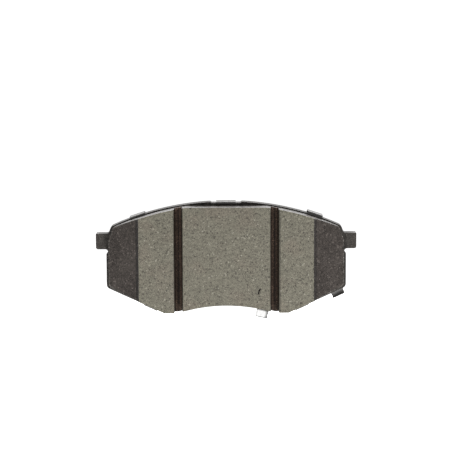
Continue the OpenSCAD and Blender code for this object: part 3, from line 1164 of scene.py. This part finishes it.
@dataclass
class FrictionBlock:
    """The moulded block: underlayer with its plugs, and the slotted, chamfered lining.

    A row of small cells is given by its start, its pitch and its count, and a chip by x, y and radius.
    """

    face_half_w: float = 46.05
    slots: tuple[float, float] = (-25.25, 25.55)
    slot_w: float = 4.2
    slot_edge: float = 0.45
    worn_edge_w: float = 1.0
    slot_floor_t: float = 1.0
    chamfer_step_w: float = 1.5
    chamfer_step_h: float = 1.2
    chamfer_root_rise: float = 0.3
    top_margin: float = 0.65
    side_margin: float = 1.3
    slant_margin: float = 1.5
    lower_margin: float = 0.75
    face_top_y: float = 27.8
    edge_r: float = 0.22
    knee_r: float = 1.0
    face_edge_r: float = 0.25
    slot_edge_r: float = 0.2
    slot_root_r: float = 0.7
    cell: float = 0.62
    cell_rows: int = 50
    fine_x: tuple[float, float, int] = (15.9, 0.2, 16)
    fine_y: tuple[float, float, int] = (-19.0, 0.25, 21)
    ripple: float = 0.015
    crumble: float = 0.55
    pits: int = 420
    pit_r: tuple[float, float] = (0.45, 0.9)
    pit_depth: tuple[float, float] = (0.05, 0.32)
    pit_reach: float = 28.0
    gouge: tuple[Point, ...] = ((16.9, -17.9), (17.15, -16.4), (18.0, -15.1))
    gouge_r: float = 0.5
    gouge_depth: float = 0.325
    gouge_steps: int = 8
    chips: tuple[tuple[float, float, float], ...] = ((39.2, -23.2, 0.9), (-9.5, -22.7, 0.6))
    chip_depth: float = 0.5
    underlayer_edge_r: float = 0.1
    rng: random.Random = field(default_factory=lambda: random.Random(41))
    underlayer_finish: PaintFinish = PaintFinish(
        "underlayer_paint", (0.022, 0.02, 0.018, 1), (0.05, 0.045, 0.04, 1), depth=0.06
    )

    def outline(self) -> list[Point]:
        """The block's outline at its root."""
        margins = (self.top_margin, self.side_margin, self.slant_margin, self.lower_margin)
        return OUTLINE.body(*margins, ceiling=self.face_top_y)

    def _profile(self, low: float, high: float) -> list[Point]:
        """Draws the lining's profile across X: end chamfers in two slopes, and two open slots.

        Args:
            low: Level of the lining's root.
            high: Level of its ground face.

        Returns:
            The closed profile.
        """
        root = OUTLINE.body_w / 2 - self.side_margin
        floor, half = low + self.slot_floor_t, self.slot_w / 2
        knee = (self.face_half_w + self.chamfer_step_w, high - self.chamfer_step_h, self.knee_r)
        rise = low + self.chamfer_root_rise
        path: list[Corner] = [
            (-root - PAST, low, 0),
            (-root - PAST, rise, 0),
            (-root, rise, 0),
            (-knee[0], knee[1], knee[2]),
            (-self.face_half_w, high, self.face_edge_r),
        ]
        shoulder = high - self.slot_edge
        for middle in self.slots:
            outer = self.worn_edge_w if middle > 0 else self.slot_edge
            path += [
                (middle - half - self.slot_edge, high, self.slot_edge_r),
                (middle - half, shoulder, self.slot_edge_r),
                (middle - half, floor, self.slot_root_r),
                (middle + half, floor, self.slot_root_r),
                (middle + half, shoulder, self.slot_edge_r),
                (middle + half + outer, high, self.slot_edge_r),
            ]
        path += [
            (self.face_half_w, high, self.face_edge_r),
            knee,
            (root, rise, 0),
            (root + PAST, rise, 0),
            (root + PAST, low, 0),
        ]
        return rounded(path, 4)

    def _cells(self, lining: Solid, high: float) -> list[bmesh.types.BMVert]:
        """Cuts the ground face into small cells, with smaller ones round the gouge.

        Args:
            lining: The lining.
            high: Level of its ground face.

        Returns:
            The face's vertices, always in the same order.
        """
        flat = []
        for face in lining.bm.faces:
            if face.normal.z > 0.999 and face.calc_center_median().z > high - 0.01:
                flat.append(face)
        reach = int(self.face_half_w / self.cell) + 1
        xs = [i * self.cell for i in range(-reach, reach + 1)]
        ys = [i * self.cell for i in range(-self.cell_rows, self.cell_rows)]
        for places, (start, pitch, count) in ((xs, self.fine_x), (ys, self.fine_y)):
            places.extend(start + pitch * i for i in range(count))
        cells = lining.slice(lining.slice(flat, Axis.X, xs), Axis.Y, ys)
        verts = dict.fromkeys(v for f in cells for v in f.verts)
        return sorted(verts, key=lambda v: (round(v.co.x, 4), round(v.co.y, 4)))

    def _ripple(self, verts: Sequence[bmesh.types.BMVert]) -> None:
        """Makes the ground face slightly wavy and crumbles its rim.

        Args:
            verts: The face's vertices.
        """
        rim = {v for v in verts if any(f.normal.z < 0.99 for f in v.link_faces)}
        for vert in verts:
            spot = Vector((vert.co.x, vert.co.y, 0))
            vert.co.z -= self.ripple + self.ripple * noise.noise(spot * 1.4)
            if vert in rim:
                chip = noise.noise(spot * 0.55) + 0.5 * noise.noise(spot * 1.7)
                vert.co.z -= max(0.0, chip - 0.28) * self.crumble

    def _weather(self, lining: Solid, high: float) -> None:
        """Gives the ground face its waviness, pits, chips and gouge.

        Args:
            lining: The lining.
            high: Level of its ground face.
        """
        verts = self._cells(lining, high)
        tree = kdtree.KDTree(len(verts))
        for index, vert in enumerate(verts):
            tree.insert((vert.co.x, vert.co.y, 0), index)
        tree.balance()
        self._ripple(verts)

        def dent(x: float, y: float, radius: float, depth: float) -> None:
            """Presses one round pit into the face.

            Args:
                x: Its place along X.
                y: Its place along Y.
                radius: Its radius.
                depth: Its depth in the middle.
            """
            for _, index, distance in tree.find_range((x, y, 0), radius):
                verts[index].co.z -= depth * (1 - (distance / radius) ** 2) ** 2

        for _ in range(self.pits):
            x = self.rng.uniform(-self.face_half_w, self.face_half_w)
            y = self.rng.uniform(-self.pit_reach, self.pit_reach)
            dent(x, y, self.rng.uniform(*self.pit_r), self.rng.uniform(*self.pit_depth))
        for x, y, radius in self.chips:
            dent(x, y, radius, self.chip_depth)
        for start, end in zip(self.gouge, self.gouge[1:]):
            for step in range(self.gouge_steps):
                x, y = Vector(start).lerp(Vector(end), step / self.gouge_steps)
                dent(x, y, self.gouge_r, self.gouge_depth)

    def _lining(self) -> None:
        """Makes the slotted and chamfered lining."""
        low, high = levels()["friction_lining"]
        lining = Solid.slab(self.outline(), low, high + PAST)
        profile = Solid.slab(self._profile(low, high), -BEYOND, BEYOND, along_y())
        lining.combine(profile, Join.INTERSECT).bevel(self.edge_r, 2, 40)
        self._weather(lining, high)
        finish = CompoundFinish("compound", high, self.face_half_w, self.slots, self.slot_w / 2)
        lining.deliver("lining", "friction_material", finish.material(), "friction_lining", sharp=40)

    def _underlayer(self) -> None:
        """Makes the underlayer, with a plug in each of the plate's moulding holes."""
        base, top = levels()["underlayer"]
        foot = levels()["bond_film"][1]
        layer = Solid.slab(self.outline(), foot, top).bevel(self.underlayer_edge_r, 1, 60)
        for x, y in BackingPlate.holes:
            layer.combine(Solid.disc(x, y, base, foot + 0.5, BackingPlate.hole_r), Join.UNION)
        paint = self.underlayer_finish.material()
        layer.deliver("underlayer_block", "underlayer_material", paint, "underlayer")

    def build(self) -> None:
        """Makes the lining and the underlayer."""
        self._lining()
        self._underlayer()


@dataclass
class CoverShim:
    """The clipped sheet-steel cover with its bent tabs."""

    edge_r: float = 0.06
    finish: SheetFinish = SheetFinish(
        "cover_coating",
        (0.125, 0.121, 0.117, 1),
        (0.17, 0.165, 0.158, 1),
        metallic=0.15,
        roughness=0.42,
        blotches=0.5,
        blotch_size=2.5,
        depth=0.015,
    )

    def build(self) -> bpy.types.Object:
        """Copies the frame's sheet, joins its triangles and rounds its edges.

        Returns:
            The sheet.
        """
        sheet = Solid(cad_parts["cover_shim"].data).bevel(self.edge_r, 2, 40)
        return sheet.deliver("cover_sheet", "cover_coating", self.finish.material(), "cover_shim")


@dataclass
class WearIndicator:
    """The spring strip, bent round the plate's lower edge, and its rivet."""

    origin: Point = (19.45, -27.35)
    lean: float = math.radians(-12)
    width: float = 6.3
    thickness: float = 0.8
    gap: float = 0.3
    foot_length: float = 4.4
    rivet_y: float = 9.4
    rivet_r: float = 1.6
    head_r: float = 2.6
    countersink: float = 1.0
    bend_r: float = 0.8
    back_bend_r: float = 1.1
    inner_bend_r: float = 0.35
    foot_corner_r: float = 0.4
    tip_r: float = 0.1
    edge_r: float = 0.22
    head_edge_r: float = 0.2

    def place(self) -> Matrix:
        """The strip's own place on the pad."""
        return Matrix.Translation((*self.origin, 0)) @ Matrix.Rotation(self.lean, 4, "Z")

    def rivet_place(self) -> Point:
        """Where the rivet's axis passes through the plate."""
        spot = self.place() @ Vector((0, self.rivet_y, 0))
        return spot.x, spot.y

    def _strip(self, low: float, high: float) -> Solid:
        """Makes the bent strip: its side profile cut to the plan shape with a round base.

        Args:
            low: Level of its rear face.
            high: Level of the foot's front.

        Returns:
            The strip in its own frame.
        """
        inner, thick = -self.gap, self.thickness
        outer, tip = inner - thick, inner - self.foot_length
        end = self.rivet_y + self.width
        profile = rounded(
            [
                (end, low, 0),
                (outer, low, self.back_bend_r),
                (outer, high - thick, self.inner_bend_r),
                (tip, high - thick, self.tip_r),
                (tip, high, self.tip_r),
                (inner, high, self.bend_r),
                (inner, low + thick, self.inner_bend_r),
                (end, low + thick, 0),
            ]
        )
        half, base = self.width / 2, self.rivet_y + self.width / 2
        plan = rounded(
            [
                (-half, base, half - 0.01),
                (half, base, half - 0.01),
                (half, tip, self.foot_corner_r),
                (-half, tip, self.foot_corner_r),
            ],
            16,
        )
        strip = Solid.slab(profile, -half - PAST, half + PAST, along_x())
        return strip.combine(Solid.slab(plan, low - PAST, high + PAST), Join.INTERSECT)

    def _rivet(self, base: float, low: float, top: float) -> Solid:
        """Makes the rivet: a flat head behind the strip, and a shank that widens in the countersink.

        Args:
            base: Level of the head's rear face.
            low: Level of the strip's rear face.
            top: Level of the shank's end.

        Returns:
            The rivet in the strip's frame.
        """
        y, sink = self.rivet_y, self.countersink
        rivet = Solid.disc(0, y, base, low, self.head_r).bevel(self.head_edge_r, 3, 60)
        rivet.combine(Solid.disc(0, y, low - 0.1, top, self.rivet_r), Join.UNION)
        cone = Solid.disc(0, y, top - sink, top, self.rivet_r, self.rivet_r + sink)
        return rivet.combine(cone, Join.UNION)

    def build(self) -> None:
        """Makes the strip and its rivet."""
        low, high = levels()["wear_indicator"]
        base, top = levels()["indicator_rivet"]
        tip = -self.gap - self.foot_length
        metal = ZincFinish("zinc_plate", self.origin, self.lean, self.width / 2, tip).material()
        strip = self._strip(low, high)
        hole = Solid.disc(0, self.rivet_y, low - PAST, low + self.thickness + PAST, self.rivet_r)
        strip.combine(hole, Join.DIFFERENCE)
        strip.bevel(self.edge_r, 3, 35).transform(self.place())
        strip.deliver("wear_strip", "spring_steel", metal, "wear_indicator")
        rivet = self._rivet(base, low, top).transform(self.place())
        rivet.deliver("rivet", "rivet_steel", metal, "indicator_rivet")


@dataclass
class HiddenLayers:
    """The bond film and the damping shim's six layers, which keep the frame's own shapes."""

    rubber: SheetFinish = SheetFinish(
        "shim_rubber", (0.022, 0.022, 0.022, 1), (0.04, 0.04, 0.038, 1), roughness=0.6, streaks=0.05
    )
    steel: SheetFinish = SheetFinish(
        "shim_steel", (0.5, 0.5, 0.5, 1), (0.36, 0.34, 0.32, 1), metallic=1.0, roughness=0.3
    )
    damping: SheetFinish = SheetFinish(
        "damping_film", (0.05, 0.045, 0.038, 1), (0.08, 0.07, 0.055, 1), roughness=0.5, streaks=0.05
    )
    glue: SheetFinish = SheetFinish(
        "shim_glue", (0.55, 0.5, 0.38, 1), (0.45, 0.4, 0.28, 1), roughness=0.35, streaks=0.05
    )
    resin: SheetFinish = SheetFinish(
        "bond_resin", (0.2, 0.13, 0.05, 1), (0.12, 0.08, 0.03, 1), roughness=0.3, streaks=0.05
    )

    def dress(self) -> None:
        """Gives each layer its own material."""
        rubber, steel = self.rubber.material(), self.steel.material()
        layers = {
            "shim_outer_rubber": rubber,
            "shim_outer_steel": steel,
            "shim_damping_layer": self.damping.material(),
            "shim_core": steel,
            "shim_inner_rubber": rubber,
            "shim_adhesive": self.glue.material(),
            "bond_film": self.resin.material(),
        }
        for name, material in layers.items():
            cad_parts[name].material_slots[0].material = material
            log.info("%s: dressed", name)


@dataclass(frozen=True)
class SoftBox:
    """A square area light, in metres and watts, that points at the origin."""

    name: str
    spot: tuple[float, float, float]
    size: float
    power: float

    def build(self) -> None:
        """Places the light."""
        data = bpy.data.lights.new(self.name, "AREA")
        data.size = self.size
        data.energy = self.power
        lamp = bpy.data.objects.new(self.name, data)
        turn = (-Vector(self.spot)).to_track_quat("-Z", "Y").to_matrix().to_4x4()
        lamp.matrix_world = Matrix.Translation(self.spot) @ turn
        bpy.context.scene.collection.objects.link(lamp)


@dataclass
class Studio:
    """A pale floor, soft lights and the camera, square on to the pad and leaning a little to its top.

    Lengths are in millimetres. The floor glows round the pad, less so under it, and fades far out.
    """

    aim: tuple[float, float, float] = (-0.56, 17.45, 7.9)
    distance: float = 1000.0
    field_w: float = 238.0
    tilt: float = math.radians(7.5)
    roll: float = math.radians(-0.25)
    floor_size: float = 6000.0
    floor_drop: float = 0.5
    floor_glow: float = 3.3
    far_glow: float = 0.3
    seen_glow: float = 0.96
    glow_reach: tuple[float, float] = (250.0, 600.0)
    pad_span: tuple[float, float] = (75.0, 31.5)
    pad_glow: float = 0.3
    pad_fade: float = 0.06
    dome: float = 0.42
    boxes: tuple[SoftBox, ...] = (
        SoftBox("key", (0.3, -0.42, 0.42), 0.25, 3.9),
        SoftBox("fill", (-0.42, -0.6, 0.6), 0.4, 4.4),
    )

    def camera(self) -> None:
        """Places the camera."""
        data = bpy.data.cameras.new("camera")
        data.sensor_width = 36.0
        data.lens = data.sensor_width * self.distance / self.field_w
        data.clip_start, data.clip_end = 0.05, 20.0
        eye = bpy.data.objects.new("camera", data)
        turn = Matrix.Rotation(-self.tilt, 4, "X") @ Matrix.Rotation(self.roll, 4, "Z")
        back = turn @ Vector((0, 0, self.distance))
        eye.matrix_world = Matrix.Translation((Vector(self.aim) + back) * MM) @ turn
        bpy.context.scene.collection.objects.link(eye)
        bpy.context.scene.camera = eye

    def _glow(self, graph: Graph) -> bpy.types.NodeSocket:
        """Works out the floor's glow: an even white to the camera, and brighter as a light.

        Args:
            graph: The floor material's graph.

        Returns:
            The emission's strength.
        """
        spot = graph.add("TexCoord").outputs["Object"]
        away = graph.add("VectorMath", {0: spot}, operation="LENGTH").outputs["Value"]
        start, end = self.glow_reach
        glow = graph.remap(away, start * MM, end * MM, self.floor_glow, self.far_glow)
        span = (self.pad_span[0] * MM, self.pad_span[1] * MM, 1.0)
        under = graph.add("VectorMath", {0: spot, 1: span}, operation="DIVIDE").outputs[0]
        under = graph.add("VectorMath", {0: under}, operation="LENGTH").outputs["Value"]
        dim = graph.remap(under, 1.0, 1.0 + self.pad_fade, self.pad_glow, 1.0)
        seen = graph.add("LightPath").outputs["Is Camera Ray"]
        white = graph.math("MULTIPLY", seen, self.seen_glow)
        return graph.math("MAXIMUM", graph.math("MULTIPLY", glow, dim), white)

    def _floor_material(self) -> bpy.types.Material:
        """Builds the floor's material, which is clear when it is seen from below.

        Returns:
            The material.
        """
        material = bpy.data.materials.new("pale_floor")
        material.use_nodes = True
        tree = material.node_tree
        graph = Graph(tree)
        shader = tree.nodes["Principled BSDF"]
        shader.inputs["Base Color"].default_value = (0.3, 0.3, 0.3, 1)
        shader.inputs["Roughness"].default_value = 0.9
        shader.inputs["Specular IOR Level"].default_value = 0.0
        shader.inputs["Emission Color"].default_value = (1, 1, 1, 1)
        tree.links.new(self._glow(graph), shader.inputs["Emission Strength"])
        behind = graph.add("NewGeometry").outputs["Backfacing"]
        clear = graph.add("BsdfTransparent")
        blend = graph.add("MixShader", {0: behind, 1: shader.outputs[0], 2: clear.outputs[0]})
        tree.links.new(blend.outputs[0], tree.nodes["Material Output"].inputs["Surface"])
        return material

    def floor(self) -> None:
        """Makes the pale floor."""
        bm = bmesh.new()
        bmesh.ops.create_grid(bm, x_segments=1, y_segments=1, size=self.floor_size * MM / 2)
        bmesh.ops.translate(bm, verts=bm.verts, vec=(0, 0, -self.floor_drop * MM))
        mesh = bpy.data.meshes.new("floor")
        bm.to_mesh(mesh)
        bm.free()
        mesh.materials.append(self._floor_material())
        floor = bpy.data.objects.new("floor", mesh)
        bpy.context.scene.collection.objects.link(floor)

    def lights(self) -> None:
        """Makes a bright dome for the camera, a dimmer one for the light, and the soft boxes."""
        world = bpy.data.worlds.new("studio")
        bpy.context.scene.world = world
        world.use_nodes = True
        graph = Graph(world.node_tree)
        seen = graph.add("LightPath").outputs["Is Camera Ray"]
        background = world.node_tree.nodes["Background"]
        background.inputs["Color"].default_value = (1, 1, 1, 1)
        graph.feed(background.inputs["Strength"], graph.math("MAXIMUM", seen, self.dome))
        for box in self.boxes:
            box.build()

    def build(self) -> None:
        """Sets up the whole studio."""
        self.camera()
        self.floor()
        self.lights()
        bpy.context.scene.view_settings.view_transform = "Standard"
        log.info("studio: camera, floor and lights")


def main() -> None:
    """Builds and dresses every piece, then the studio."""
    logging.basicConfig(level=logging.INFO, format="%(message)s")
    indicator = WearIndicator()
    BackingPlate().build(indicator)
    FrictionBlock().build()
    CoverShim().build()
    indicator.build()
    HiddenLayers().dress()
    Studio().build()


if __name__ == "__main__":
    main()
